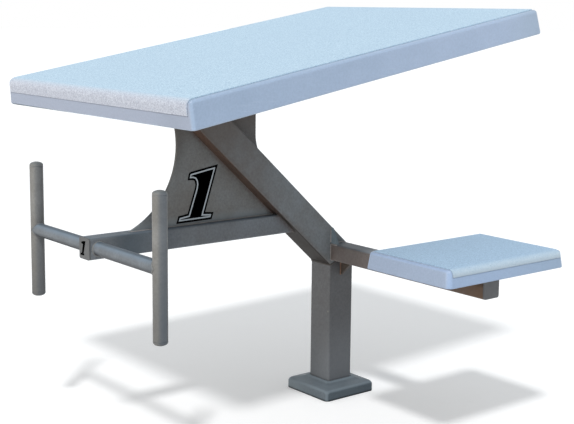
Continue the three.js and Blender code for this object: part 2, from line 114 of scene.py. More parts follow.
def workedCopy(nodeName, pieceName, edge, shape=None):
    # a copy of the solid as it comes off the saw or out of the mould, its sharp edges taken off
    piece = newPiece(pieceName, nodes[nodeName].data.copy())
    makeActive(piece)
    bpy.ops.mesh.customdata_custom_splitnormals_clear()
    editAll(piece)
    bpy.ops.mesh.remove_doubles(threshold=meshRules["mergeWithin"] * mm)
    bpy.ops.mesh.dissolve_limited(angle_limit=math.radians(meshRules["flatWithin"]))
    closeEdit()
    if shape:
        shape(piece)
    breakEdges(piece, edge)
    return piece


def ringOf(width, height, corner, steps=4):
    # a closed ring of points round a tube with rounded corners
    points = []
    for cx, cy, start in (
        (width / 2 - corner, height / 2 - corner, 0), (corner - width / 2, height / 2 - corner, 90),
        (corner - width / 2, corner - height / 2, 180), (width / 2 - corner, corner - height / 2, 270),
    ):
        for step in range(steps + 1):
            turn = math.radians(start + step * 90 / steps)
            points.append((cx + corner * math.cos(turn), cy + corner * math.sin(turn)))
    return points + points[:1]


# Materials

def linearColour(code):
    channels = [int(code[i:i + 2], 16) / 255 for i in (0, 2, 4)]
    bent = [c / 12.92 if c <= 0.04045 else ((c + 0.055) / 1.055) ** 2.4 for c in channels]
    return (*bent, 1.0)


smoothStep = {"interpolation_type": "SMOOTHSTEP"}
asColour = {"data_type": "RGBA"}


def addNode(material, kind, settings=None, inputs=None):
    node = material.node_tree.nodes.new(kind)
    for name, value in (settings or {}).items():
        setattr(node, name, value)
    for name, value in (inputs or {}).items():
        if isinstance(value, bpy.types.NodeSocket):
            material.node_tree.links.new(value, node.inputs[name])
        else:
            node.inputs[name].default_value = value
    return node


def perMetre(sizeInMm):
    return 1 / (sizeInMm * mm)


def blankMaterial(name, roughness, metallic=0.0):
    material = bpy.data.materials.new(name)
    material.use_nodes = True
    shader = material.node_tree.nodes["Principled BSDF"]
    shader.inputs["Roughness"].default_value = roughness
    shader.inputs["IOR"].default_value = 1.5  # paint, resin, ink and polyethylene alike
    shader.inputs["Metallic"].default_value = metallic
    place = addNode(material, "ShaderNodeTexCoord").outputs["Object"]
    return material, shader, place


def feed(material, shader, socket, value):
    material.node_tree.links.new(value, shader.inputs[socket])


# A stain along a plane: the way across it, its middle and reach in millimetres, its share and colour
def band(toward, centre, reach, amount, colour, **more):
    return {
        "toward": toward, "centre": centre, "reach": reach, "amount": amount, "colour": colour, **more,
    }


bandEdge = {"mottle": 9, "ragIn": 0.4, "ragOut": 0.5, "climb": 40}


# Each stain is full at its middle and gone beyond its reach. The patches break it up unless it is
# even, a ragged one has a mottled edge, and some stay above a height.
def layBands(material, place, colour, bands, patches=None):
    if not bands:
        return colour
    mottle = addNode(material, "ShaderNodeTexNoise", {}, {
        "Vector": place, "Scale": perMetre(bandEdge["mottle"]), "Detail": 4.0, "Roughness": 0.65,
    })
    height = addNode(material, "ShaderNodeSeparateXYZ", {}, {0: place}).outputs["Z"]
    for stain in bands:
        across = addNode(material, "ShaderNodeVectorMath", {"operation": "DOT_PRODUCT"}, {
            0: place, 1: stain["toward"],
        })
        away = addNode(material, "ShaderNodeMath", {"operation": "SUBTRACT"}, {
            0: across.outputs["Value"], 1: stain["centre"] * mm,
        })
        away = addNode(material, "ShaderNodeMath", {"operation": "ABSOLUTE"}, {0: away.outputs[0]})
        ragged = stain.get("ragged", 0) * mm
        away = addNode(material, "ShaderNodeMath", {"operation": "MULTIPLY_ADD"}, {
            0: mottle.outputs["Fac"], 1: ragged, 2: away.outputs[0],
        })
        share = addNode(material, "ShaderNodeMapRange", smoothStep, {
            "Value": away.outputs[0], "From Min": ragged * bandEdge["ragIn"],
            "From Max": ragged * bandEdge["ragOut"] + stain["reach"] * mm,
            "To Min": stain["amount"], "To Max": 0.0,
        }).outputs["Result"]
        if "above" in stain:
            climb = addNode(material, "ShaderNodeMapRange", smoothStep, {
                "Value": height, "From Min": (stain["above"] - bandEdge["climb"]) * mm,
                "From Max": (stain["above"] + bandEdge["climb"]) * mm,
            })
            share = addNode(material, "ShaderNodeMath", {"operation": "MULTIPLY"}, {
                0: share, 1: climb.outputs["Result"],
            }).outputs[0]
        if patches and not stain.get("even"):
            share = addNode(material, "ShaderNodeMath", {"operation": "MULTIPLY"}, {
                0: share, 1: patches,
            }).outputs[0]
        colour = addNode(material, "ShaderNodeMix", asColour, {
            0: share, 6: colour, 7: linearColour(stain["colour"]),
        }).outputs[2]
    return colour


# Where a form turns over: none on faces square to an axis, the whole share on a rounded edge
def findTurns(material, facing, flat, turned, share):
    squared = addNode(material, "ShaderNodeVectorMath", {"operation": "MULTIPLY"}, {0: facing, 1: facing})
    flatness = addNode(material, "ShaderNodeVectorMath", {"operation": "DOT_PRODUCT"}, {
        0: squared.outputs[0], 1: squared.outputs[0],
    })
    return addNode(material, "ShaderNodeMapRange", smoothStep, {
        "Value": flatness.outputs["Value"], "From Min": flat, "From Max": turned, "To Max": share,
    }).outputs["Result"]


# Polyester powder coat on blasted steel: sprayed dry and baked, so it is satin, slightly dimpled like
# orange peel, paler where rubbed along its edges, with a painted highlight where the form turns over,
# and on faces that look up a film that is partly dried pool water and partly a painted sky sheen.
def powderCoat(name, look):
    material, shader, place = blankMaterial(name, look["roughness"])
    cloud = addNode(material, "ShaderNodeTexNoise", {}, {
        "Vector": place, "Scale": perMetre(look["cloudSize"]), "Detail": 4.0, "Roughness": 0.6,
    })
    tone = addNode(material, "ShaderNodeMapRange", {}, {
        "Value": cloud.outputs["Fac"], "From Min": 0.35, "From Max": 0.65,
    })
    body = addNode(material, "ShaderNodeMix", asColour, {
        0: tone.outputs["Result"], 6: linearColour(look["deep"]), 7: linearColour(look["pale"]),
    })
    # pigment grains are too fine to show, so they are drawn 4 mm across
    grain = addNode(material, "ShaderNodeTexNoise", {}, {
        "Vector": place, "Scale": perMetre(4), "Detail": 2.0,
    })
    grainTone = addNode(material, "ShaderNodeMapRange", {}, {
        "Value": grain.outputs["Fac"], "From Min": 0.3, "From Max": 0.7,
        "To Min": 1 - look["grain"], "To Max": 1 + look["grain"],
    })
    grained = addNode(material, "ShaderNodeVectorMath", {"operation": "SCALE"}, {
        0: body.outputs[2], "Scale": grainTone.outputs["Result"],
    })
    # faces that look up turn paler and bluer: partly dust and dried water, partly a painted sky sheen
    facing = addNode(material, "ShaderNodeNewGeometry").outputs["Normal"]
    upward = addNode(material, "ShaderNodeSeparateXYZ", {}, {0: facing}).outputs["Z"]
    film = addNode(material, "ShaderNodeMapRange", smoothStep, {
        "Value": upward, "From Min": 0.15, "From Max": 0.95, "To Max": look["filmShare"],
    })
    dustAndSkySheenPatch = addNode(material, "ShaderNodeMath", {"operation": "MULTIPLY"}, {
        0: film.outputs["Result"], 1: addNode(material, "ShaderNodeMapRange", {}, {
            "Value": cloud.outputs["Fac"], "From Min": 0.3, "From Max": 0.6, "To Min": 0.7,
        }).outputs["Result"],
    })
    dustAndSkySheened = addNode(material, "ShaderNodeMix", asColour, {
        0: dustAndSkySheenPatch.outputs[0], 6: grained.outputs[0], 7: linearColour(look["film"]),
    })
    # rubbed edges: where the rounded normal leaves the flat one
    rounded = addNode(material, "ShaderNodeBevel", {"samples": 4}, {"Radius": 2.5 * mm})
    same = addNode(material, "ShaderNodeVectorMath", {"operation": "DOT_PRODUCT"}, {
        0: rounded.outputs[0], 1: facing,
    })
    rubbed = addNode(material, "ShaderNodeMapRange", {}, {
        "Value": same.outputs["Value"], "From Min": 0.995, "From Max": 0.9, "To Max": look["wear"],
    })
    worn = addNode(material, "ShaderNodeMix", asColour, {
        0: rubbed.outputs["Result"], 6: dustAndSkySheened.outputs[2], 7: linearColour(look["edge"]),
    })
    patches = addNode(material, "ShaderNodeMapRange", {}, {
        "Value": cloud.outputs["Fac"], "From Min": 0.35, "From Max": 0.6, "To Min": look["patchy"],
    })
    stained = layBands(
        material, place, worn.outputs[2], look.get("bands", ()), patches.outputs["Result"],
    )
    # a few chips down to the zinc primer, 3 mm across with a soft rim
    chips = addNode(material, "ShaderNodeTexVoronoi", {}, {"Vector": place, "Scale": perMetre(75)})
    chipped = addNode(material, "ShaderNodeMapRange", {}, {
        "Value": chips.outputs["Distance"], "From Min": 0.035, "From Max": 0.018, "To Max": 0.6,
    })
    finished = addNode(material, "ShaderNodeMix", asColour, {
        0: chipped.outputs["Result"], 6: stained, 7: linearColour(look["primer"]),
    })
    # a painted highlight makes the coat palest where the form turns over
    turnHighlighted = addNode(material, "ShaderNodeMix", asColour, {
        0: findTurns(material, facing, 0.88, 0.5, look["rim"]),
        6: finished.outputs[2], 7: linearColour(look["edge"]),
    })
    feed(material, shader, "Base Color", turnHighlighted.outputs[2])
    gloss = addNode(material, "ShaderNodeMapRange", {}, {
        "Value": cloud.outputs["Fac"], "From Min": 0.3, "From Max": 0.7,
        "To Min": look["roughness"] - 0.06, "To Max": look["roughness"] + 0.08,
    })
    feed(material, shader, "Roughness", gloss.outputs["Result"])
    # the dry film kills the shine of the coat under it
    dulled = addNode(material, "ShaderNodeMapRange", {}, {
        "Value": film.outputs["Result"], "From Max": look["filmShare"],
        "To Min": look["shine"], "To Max": 0.05,
    })
    feed(material, shader, "Specular IOR Level", dulled.outputs["Result"])
    # orange peel is about 2 mm across, drawn at 5 mm so that it shows
    peel = addNode(material, "ShaderNodeTexNoise", {}, {
        "Vector": place, "Scale": perMetre(5), "Detail": 1.0,
    })
    bump = addNode(material, "ShaderNodeBump", {}, {
        "Height": peel.outputs["Fac"], "Strength": 0.25, "Distance": 0.6 * mm,
    })
    feed(material, shader, "Normal", bump.outputs["Normal"])
    return material


underDiagonalNormal = (0, -math.sin(diagonalSlope), -math.cos(diagonalSlope))
platformNormal = (0, -math.sin(platformSlope), math.cos(platformSlope))
frameLook = {
    "deep": "5e5f60", "pale": "646669", "film": "676f75", "edge": "74797c", "rim": 0.0, "patchy": 0.5,
    "filmShare": 0.55, "wear": 0.4, "grain": 0.1, "roughness": 0.45, "cloudSize": 90, "shine": 0.1,
    "primer": "95918a",
}
# rust and pool water seep from the joints along both welds; the darker, browner band under the platform
# is painted shade
shadeUnderPlatform = band(platformNormal, 672, 120, 0.8, "4e4037")
alongArm = band(underDiagonalNormal, -178, 12, 0.85, "553c30", ragged=16)
postPaint = powderCoat("postPowderCoat", frameLook | {
    "deep": "69696a", "pale": "6f7072", "patchy": 0.9, "bands": (
        # painted light lifts the post's lower faces, then a darker line at its foot in the cover; painted
        # shade darkens its +X side and, higher up, the shade under the arm
        band(alongZ, 30, 190, 0.6, "747a80"),
        band(alongZ, 29, 4, 0.3, "3c4144"),
        band(alongX, 30, 3, 0.35, "48484a", even=True),
        band(alongX, 30, 3, 0.6, "352e29", even=True, above=265),
    ),
})
gussetPaint = powderCoat("gussetPowderCoat", frameLook | {
    "deep": "6f6d6a", "pale": "797b7b", "bands": (
        # painted light along the foot above the rail, painted shade under the platform at the front
        band(alongZ, 382, 18, 0.9, "858b8e"),
        band(alongY, -435, 50, 0.45, "454d54"),
        band(alongY, -388, 40, 0.55, "47423b", above=490),
        shadeUnderPlatform | {"amount": 0.84}, alongArm | {"reach": 10, "amount": 0.7},
    ),
})
diagonalPaint = powderCoat("diagonalPowderCoat", frameLook | {
    "deep": "727272", "pale": "7e8488", "bands": (
        # painted shade under the platform and over the tube's lower face; the brown along the arm is rust
        # seep
        shadeUnderPlatform | {"amount": 0.75, "reach": 225, "colour": "594b40", "even": True},
        alongArm | {"amount": 0.5, "colour": "54443a"},
        alongArm | {"reach": 2.5, "amount": 0.97, "colour": "332f2c", "ragged": 0, "even": True},
        alongArm | {"reach": 2.5, "amount": 0.85, "colour": "6a5347", "ragged": 4, "above": 400},
    ),
})
# painted shadow of the crossbar darkens the rail behind it, and painted light runs along its top edge
railPaint = powderCoat("railPowderCoat", frameLook | {
    "deep": "6a6d70", "pale": "73787d", "bands": (
        alongArm | {"reach": 14, "amount": 0.6},
        band(alongY, -488, 55, 0.6, "3e4850", even=True),
        band(alongY, -450, 110, 0.5, "3e4850", even=True),
        band(alongZ, 380, 2.5, 0.6, "6f7b86", even=True),
    ),
})
# painted shade under the step, its band tilting down towards the arm's outer end
armPaint = powderCoat("armPowderCoat", frameLook | {
    "deep": "675f5c", "pale": "6d6866", "film": "909fab", "bands": (
        band(alongX, 420, 130, 0.85, "6e5540"),
        band(alongX, 30, 22, 0.25, "5f4a3d"),
        band((0.05, 0, 1), 333.7, 17, 0.85, "2b2422", even=True),
    ),
})
# the small gusset on the arm is painted pale as if sky-lit, the one under it dark as painted shade
topGussetSkyLitPaint = powderCoat("topGussetPowderCoat", frameLook | {"deep": "727e85", "pale": "7f8d95"})
underGussetShadedPaint = powderCoat("underGussetPowderCoat", frameLook | {"deep": "4b443e", "pale": "564e48"})
gripLook = frameLook | {
    "deep": "7b7a77", "pale": "898987", "film": "71777a", "edge": "8d9499",
    "filmShare": 0.7, "grain": 0.08, "roughness": 0.4, "cloudSize": 50, "bands": (
        band(alongZ, 234, 200, 0.6, "4e4f50"),
        # painted shade down the +X side of each bar, lighter painted shade down its -X side
        band(alongX, 222.5, 6, 0.55, "48535f", even=True),
        band(alongX, -197.5, 6, 0.36, "424b57", even=True),
        band(alongX, -222.5, 3.5, 0.4, "66666b", even=True),
        band(alongX, 197.5, 3.5, 0.25, "66666b", even=True),
    ),
}
gripPaint = powderCoat("gripPowderCoat", gripLook)
crossbarPaint = powderCoat("crossbarPowderCoat", gripLook | {
    "deep": "6b7075", "pale": "777d83", "film": "7b8c9c", "filmShare": 0.8, "bands": (
        # painted shade along the crossbar's underside
        band(alongZ, 348.5, 14, 1.0, "2b2c30", even=True),
        band(alongZ, 373.5, 3, 0.6, "3c444a", even=True),
    ),
})
# the rim share is a painted highlight; painted shade on the +X side, painted light on the -X side and a
# painted contact shadow at the foot
coverPaint = powderCoat("coverPowderCoat", frameLook | {
    "deep": "5d666d", "pale": "646d74", "film": "69737a", "edge": "7b878f", "rim": 0.45,
    "filmShare": 0.6, "wear": 0.5, "grain": 0.09, "roughness": 0.42, "cloudSize": 40, "patchy": 0.9,
    "bands": (
        band(alongZ, 26.5, 3, 0.3, "363d42"),
        band(alongX, 64, 5, 0.65, "3a444b", even=True),
        band(alongX, -64, 85, 0.75, "8f9ba3", even=True),
        band(alongZ, 0, 5.5, 1.0, "08090a", even=True),
    ),
})
# the coat runs thin over the weld toes, so rust bleeds through it a little
weldPaint = powderCoat("weldPowderCoat", frameLook | {
    "deep": "504b47", "pale": "5a5856", "film": "62676a", "edge": "666361",
    "wear": 0.2, "roughness": 0.5, "cloudSize": 25,
})
# dark brown: rust in the joint, darkened further as painted shade to match the shade round it
darkWeldPaint = powderCoat("darkWeldPowderCoat", frameLook | {
    "deep": "45372f", "pale": "54453b", "film": "58524e", "edge": "5a5049", "cloudSize": 25,
})
# pale as painted light: a highlight down the welds at the arm, and light on the shaded welds at the
# gusset's foot
litWeldPaint = powderCoat("paleWeldPowderCoat", frameLook | {
    "deep": "86817e", "pale": "9b9796", "film": "9a9898", "edge": "a09c99", "cloudSize": 20,
})
rustyWeldPaint = powderCoat("rustyWeldPowderCoat", frameLook | {
    "deep": "624c40", "pale": "846a5a", "film": "7d6657", "edge": "8a7262", "cloudSize": 15,
})
print("powder coats made")


# Gelcoat on a glass fibre moulding: sprayed in a polished mould, so it is smooth and half glossy,
# with a faint long wave from the fibres behind it, fine scuffs and a greyer front where pool water dries.
def gelcoat(name, look):
    material, shader, place = blankMaterial(name, look["roughness"])
    cloud = addNode(material, "ShaderNodeTexNoise", {}, {
        "Vector": place, "Scale": perMetre(120), "Detail": 5.0, "Roughness": 0.55,
    })
    # splashed and dirtier towards the pool, paler behind
    drift = addNode(material, "ShaderNodeMapRange", {}, {
        "Value": addNode(material, "ShaderNodeSeparateXYZ", {}, {0: place}).outputs["Y"],
        "From Min": -0.55, "From Max": 0.0, "To Min": -0.25, "To Max": 0.25,
    })
    tone = addNode(material, "ShaderNodeMath", {"operation": "ADD", "use_clamp": True}, {
        0: cloud.outputs["Fac"], 1: drift.outputs["Result"],
    })
    coloured = addNode(material, "ShaderNodeMix", asColour, {
        0: tone.outputs[0], 6: linearColour(look["deep"]), 7: linearColour(look["pale"]),
    })
    facing = addNode(material, "ShaderNodeNewGeometry").outputs["Normal"]
    forward = addNode(material, "ShaderNodeVectorMath", {"operation": "DOT_PRODUCT"}, {
        0: facing, 1: (0, -1, 0),
    })
    splashed = addNode(material, "ShaderNodeMapRange", {}, {
        "Value": forward.outputs["Value"], "From Min": 0.75, "From Max": 0.97, "To Max": look["splash"],
    })
    greyed = addNode(material, "ShaderNodeMix", asColour, {
        0: splashed.outputs["Result"], 6: coloured.outputs[2], 7: linearColour(look["splashed"]),
    })
    # a painted highlight where the form turns
    turnHighlighted = addNode(material, "ShaderNodeMix", asColour, {
        0: findTurns(material, facing, 0.98, 0.6, look["rim"]),
        6: greyed.outputs[2], 7: linearColour(look["edge"]),
    })
    grain = addNode(material, "ShaderNodeTexNoise", {}, {
        "Vector": place, "Scale": perMetre(3.5), "Detail": 2.0,
    })
    grainTone = addNode(material, "ShaderNodeMapRange", {}, {
        "Value": grain.outputs["Fac"], "From Min": 0.3, "From Max": 0.7, "To Min": 0.955, "To Max": 1.045,
    })
    body = addNode(material, "ShaderNodeVectorMath", {"operation": "SCALE"}, {
        0: turnHighlighted.outputs[2], "Scale": grainTone.outputs["Result"],
    })
    # scuffs run along the slab: stretched noise, thresholded to a few thin marks
    along = addNode(material, "ShaderNodeMapping", {}, {
        "Vector": place, "Scale": (perMetre(3), perMetre(60), perMetre(2.5)),
    })
    scuffs = addNode(material, "ShaderNodeTexNoise", {}, {
        "Vector": along.outputs[0], "Scale": 1.0, "Detail": 3.0,
    })
    scuffed = addNode(material, "ShaderNodeMapRange", {}, {
        "Value": scuffs.outputs["Fac"], "From Min": 0.62, "From Max": 0.75, "To Max": 0.25,
    })
    marked = addNode(material, "ShaderNodeMix", asColour, {
        0: scuffed.outputs["Result"], 6: body.outputs[0], 7: linearColour(look["scuff"]),
    })
    feed(material, shader, "Base Color", layBands(material, place, marked.outputs[2], look["bands"]))
    gloss = addNode(material, "ShaderNodeMapRange", {}, {
        "Value": cloud.outputs["Fac"], "From Min": 0.3, "From Max": 0.7,
        "To Min": look["roughness"] - 0.05, "To Max": look["roughness"] + 0.1,
    })
    feed(material, shader, "Roughness", gloss.outputs["Result"])
    wave = addNode(material, "ShaderNodeTexNoise", {}, {
        "Vector": place, "Scale": perMetre(25), "Detail": 2.0,
    })
    bump = addNode(material, "ShaderNodeBump", {}, {
        "Height": wave.outputs["Fac"], "Strength": 0.12, "Distance": 1.5 * mm,
    })
    feed(material, shader, "Normal", bump.outputs["Normal"])
    return material


# the rim share is a painted highlight on the turned edges
shellLook = {
    "deep": "8fa2ba", "pale": "a6b6ce", "scuff": "b9c6d6", "edge": "a8bfda", "roughness": 0.36,
    "splash": 0.9, "splashed": "98a1b4", "rim": 0.3, "bands": (
        # a painted highlight along the shell's foot, as if it caught light off the floor
        band(platformNormal, 674.5, 4, 0.5, "aab5c1"),
        band(alongY, 252, 130, 0.4, "95a6b4"),
        band(alongX, 250, 56, 0.45, "8b95a7"),
    ),
}
shellFinish = gelcoat("lavenderGelcoat", shellLook)
stepShellFinish = gelcoat("lavenderGelcoatStep", shellLook | {
    "deep": "8c9eb8", "pale": "a0b1c9", "edge": "a3b8d8", "splash": 0.2, "rim": 0.7, "bands": (
        band(alongX, 465, 12, 0.45, "8ba5c6"),
        # a painted shadow line along the step shell's foot
        band(alongZ, 318, 3, 0.5, "7d8ca4"),
        band(alongY, 150, 220, 0.6, "8a9fb4"),
    ),
})


# Silica sand broadcast into wet resin and sealed: matt, rough to the foot, each grain catching light.
# Over the nose the tone is whiter, a painted highlight. Grains of 0.7 mm are drawn 2.5 mm across.
def sandedResin(name, look):
    material, shader, place = blankMaterial(name, look["roughness"])
    grit = addNode(material, "ShaderNodeTexNoise", {}, {
        "Vector": place, "Scale": perMetre(2.5), "Detail": 3.0, "Roughness": 0.7,
    })
    speck = addNode(material, "ShaderNodeMapRange", {}, {
        "Value": grit.outputs["Fac"], "From Min": 0.35, "From Max": 0.65,
    })
    body = addNode(material, "ShaderNodeMix", asColour, {
        0: speck.outputs["Result"], 6: linearColour(look["hollow"]), 7: linearColour(look["grain"]),
    })
    cloud = addNode(material, "ShaderNodeTexNoise", {}, {
        "Vector": place, "Scale": perMetre(150), "Detail": 4.0,
    })
    trodden = addNode(material, "ShaderNodeMapRange", {}, {
        "Value": cloud.outputs["Fac"], "From Min": 0.4, "From Max": 0.75, "To Max": 0.35,
    })
    walked = addNode(material, "ShaderNodeMix", asColour, {
        0: trodden.outputs["Result"], 6: body.outputs[2], 7: linearColour(look["trodden"]),
    })
    # distance out towards the nose
    outward = addNode(material, "ShaderNodeVectorMath", {"operation": "DOT_PRODUCT"}, {
        0: place, 1: look["noseToward"],
    })
    nose = addNode(material, "ShaderNodeMapRange", smoothStep, {
        "Value": outward.outputs["Value"],
        "From Min": look["noseStart"] * mm, "From Max": (look["noseStart"] + look["noseRun"]) * mm,
    })
    coarse = addNode(material, "ShaderNodeTexNoise", {}, {
        "Vector": place, "Scale": perMetre(2.4), "Detail": 3.0, "Roughness": 0.75,
    })
    coarseSpeck = addNode(material, "ShaderNodeMapRange", {}, {
        "Value": coarse.outputs["Fac"], "From Min": 0.35, "From Max": 0.65,
    })
    litNoseGrain = addNode(material, "ShaderNodeMix", asColour, {
        0: coarseSpeck.outputs["Result"],
        6: linearColour(look["noseHollow"]), 7: linearColour(look["noseGrain"]),
    })
    mixed = addNode(material, "ShaderNodeMix", asColour, {
        0: nose.outputs["Result"], 6: walked.outputs[2], 7: litNoseGrain.outputs[2],
    })
    # here and there a darker grain, and painted shade in the groove round the edge
    stray = addNode(material, "ShaderNodeTexVoronoi", {}, {"Vector": place, "Scale": perMetre(13)})
    darker = addNode(material, "ShaderNodeMapRange", {}, {
        "Value": stray.outputs["Distance"], "From Min": 0.12, "From Max": 0.07, "To Max": 0.45,
    })
    speckled = addNode(material, "ShaderNodeMix", asColour, {
        0: darker.outputs["Result"], 6: mixed.outputs[2], 7: linearColour(look["stray"]),
    })
    feed(material, shader, "Base Color", layBands(material, place, speckled.outputs[2], look["bands"]))
    relief = addNode(material, "ShaderNodeMix", {"data_type": "FLOAT"}, {
        0: nose.outputs["Result"], 2: grit.outputs["Fac"], 3: coarse.outputs["Fac"],
    })
    bump = addNode(material, "ShaderNodeBump", {}, {
        "Height": relief.outputs[0], "Strength": look["bump"], "Distance": 1.2 * mm,
    })
    feed(material, shader, "Normal", bump.outputs["Normal"])
    return material


# painted shade in the groove between the tread and the shell
def grooveShade(toward, centre):
    return band(toward, centre, 2.2, 0.2, "8ba6bd")


treadFinish = sandedResin("sandedResin", {
    "hollow": "9cb9cf", "grain": "cfe5f4", "trodden": "b3cbde", "stray": "8aa7bd",
    "roughness": 0.85, "bump": 0.5, "noseHollow": "a1a6b5", "noseGrain": "cfd5e0",
    "noseToward": (0, -math.cos(platformSlope), -math.sin(platformSlope)),
    "noseStart": 421, "noseRun": 16, "bands": (grooveShade(alongX, 297), grooveShade(alongX, -297)),
})
stepTreadFinish = sandedResin("sandedResinStep", {
    "hollow": "97b4ce", "grain": "b9d4ec", "trodden": "a8c3dc", "stray": "7f9bb3",
    "roughness": 0.85, "bump": 0.4, "noseHollow": "a8bdcc", "noseGrain": "c2cfd8",
    "noseToward": alongX, "noseStart": 450, "noseRun": 16, "bands": (
        grooveShade(alongY, -139), grooveShade(alongY, 139),
        band(alongZ, 337, 10, 0.7, "a6b4c0"),
    ),
})
print("gelcoat and sanded resin made")


# Phenolic film on birch plywood: pressed hot, dark brown, faintly printed by the wire mesh of the press.
filmLook = {"roughness": 0.5, "deep": "37302b", "pale": "4d443c", "wireMesh": 6}
filmPly, shader, place = blankMaterial("filmFacedPlywood", filmLook["roughness"])
fibre = addNode(filmPly, "ShaderNodeTexNoise", {}, {
    "Vector": addNode(filmPly, "ShaderNodeMapping", {}, {
        "Vector": place, "Scale": (perMetre(12), perMetre(140), perMetre(12)),
    }).outputs[0], "Scale": 1.0, "Detail": 5.0,
})
filmTone = addNode(filmPly, "ShaderNodeMix", asColour, {
    0: fibre.outputs["Fac"], 6: linearColour(filmLook["deep"]), 7: linearColour(filmLook["pale"]),
})
feed(filmPly, shader, "Base Color", filmTone.outputs[2])
mesh = addNode(filmPly, "ShaderNodeTexVoronoi", {"feature": "DISTANCE_TO_EDGE"}, {
    "Vector": place, "Scale": perMetre(filmLook["wireMesh"]), "Randomness": 0.05,
})
meshBump = addNode(filmPly, "ShaderNodeBump", {}, {
    "Height": mesh.outputs["Distance"], "Strength": 0.3, "Distance": 0.5 * mm,
})
feed(filmPly, shader, "Normal", meshBump.outputs["Normal"])

# Injection moulded polyethylene: soft sheen over a fine spark-eroded grain, drawn 1.5 mm across.
capLook = {"roughness": 0.55, "deep": "545557", "pale": "616264", "grain": 1.5}
capFinish, shader, place = blankMaterial("mouldedPolyethylene", capLook["roughness"])
capGrain = addNode(capFinish, "ShaderNodeTexNoise", {}, {
    "Vector": place, "Scale": perMetre(capLook["grain"]), "Detail": 2.0,
})
capCloud = addNode(capFinish, "ShaderNodeTexNoise", {}, {
    "Vector": place, "Scale": perMetre(18), "Detail": 3.0,
})
capTone = addNode(capFinish, "ShaderNodeMix", asColour, {
    0: capCloud.outputs["Fac"], 6: linearColour(capLook["deep"]), 7: linearColour(capLook["pale"]),
})
feed(capFinish, shader, "Base Color", capTone.outputs[2])
capBump = addNode(capFinish, "ShaderNodeBump", {}, {
    "Height": capGrain.outputs["Fac"], "Strength": 0.3, "Distance": 0.3 * mm,
})
feed(capFinish, shader, "Normal", capBump.outputs["Normal"])

# Stainless steel, cold headed and turned: bright, with fine rings from the tool round each hole.
boltLook = {"roughness": 0.26, "worn": 0.44, "deep": "a9a9a6", "pale": "c6c5c1"}
boltFinish, shader, place = blankMaterial("coldHeadedStainless", boltLook["roughness"], metallic=1.0)
boltTone = addNode(boltFinish, "ShaderNodeTexNoise", {}, {
    "Vector": place, "Scale": perMetre(7), "Detail": 4.0,
})
boltColour = addNode(boltFinish, "ShaderNodeMix", asColour, {
    0: boltTone.outputs["Fac"], 6: linearColour(boltLook["deep"]), 7: linearColour(boltLook["pale"]),
})
feed(boltFinish, shader, "Base Color", boltColour.outputs[2])
boltGloss = addNode(boltFinish, "ShaderNodeMapRange", {}, {
    "Value": boltTone.outputs["Fac"], "From Min": 0.3, "From Max": 0.7,
    "To Min": boltLook["roughness"], "To Max": boltLook["worn"],
})
feed(boltFinish, shader, "Roughness", boltGloss.outputs["Result"])
boltBump = addNode(boltFinish, "ShaderNodeBump", {}, {
    "Height": addNode(boltFinish, "ShaderNodeTexNoise", {}, {
        "Vector": place, "Scale": perMetre(1.2), "Detail": 2.0,
    }).outputs["Fac"], "Strength": 0.15, "Distance": 0.1 * mm,
})
feed(boltFinish, shader, "Normal", boltBump.outputs["Normal"])
print("board, cap and bolt materials made")


# Screen printed ink: thin, even and nearly matt, with pinholes where the coat below is dimpled.
def printInk(name, deep, pale, roughness):
    material, shader, place = blankMaterial(name, roughness)
    shader.inputs["Specular IOR Level"].default_value = 0.0
    speck = addNode(material, "ShaderNodeTexNoise", {}, {
        "Vector": place, "Scale": perMetre(3), "Detail": 3.0,
    })
    tone = addNode(material, "ShaderNodeMix", asColour, {
        0: speck.outputs["Fac"], 6: linearColour(deep), 7: linearColour(pale),
    })
    feed(material, shader, "Base Color", tone.outputs[2])
    bump = addNode(material, "ShaderNodeBump", {}, {
        "Height": speck.outputs["Fac"], "Strength": 0.2, "Distance": 0.3 * mm,
    })
    feed(material, shader, "Normal", bump.outputs["Normal"])
    return material


blackInk = printInk("blackScreenInk", "000000", "030304", 0.8)
greyInk = printInk("greyScreenInk", "aab1b6", "bcc3c8", 0.6)


# Steel frame: each solid's piece, the width of its eased edges in millimetres and its coat
steelPieces = {
    "main_post": ("mainPost", 0.6, postPaint),
    "diagonal_arm": ("diagonalArm", 0.6, diagonalPaint),
    "front_rail": ("frontRail", 0.5, railPaint),
    "gusset_plate": ("gussetPlate", 0.9, gussetPaint),
    "rear_gusset": ("rearGusset", 0.9, diagonalPaint),
    "step_arm": ("stepArm", 0.5, armPaint),
    "arm_top_gusset": ("armTopGusset", 0.7, topGussetSkyLitPaint),
    "arm_under_gusset": ("armUnderGusset", 0.7, underGussetShadedPaint),
    "base_plate": ("basePlate", 0.8, postPaint),
    "platform_mount_plate": ("platformMountPlate", 0.8, diagonalPaint),
    "step_mount_plate": ("stepMountPlate", 0.8, armPaint),
}
for nodeName, (pieceName, edge, coat) in steelPieces.items():
    piece = workedCopy(nodeName, pieceName, edge)
    dress(piece, coat)
    standIn(piece, "block", "frame_coating", nodeName)
print("steel frame dressed")

# Grips
gripEdge = {"tube": 0.3, "plug": 0.2}
for nodeName in ("grip_crossbar", "grip_bar_left", "grip_bar_right"):
    piece = workedCopy(nodeName, nodeName.replace("_", "") + "Tube", gripEdge["tube"])
    dress(piece, crossbarPaint if "crossbar" in nodeName else gripPaint)
    standIn(piece, "block", "grip_coating", nodeName)

for side in ("left", "right"):
    for end in ("top", "bottom"):
        nodeName = f"grip_plug_{side}_{end}"
        piece = workedCopy(nodeName, f"gripPlug{side.title()}{end.title()}", gripEdge["plug"])
        dress(piece, gripPaint)
        standIn(piece, "block", "grip_coating", nodeName)
print("grips dressed")


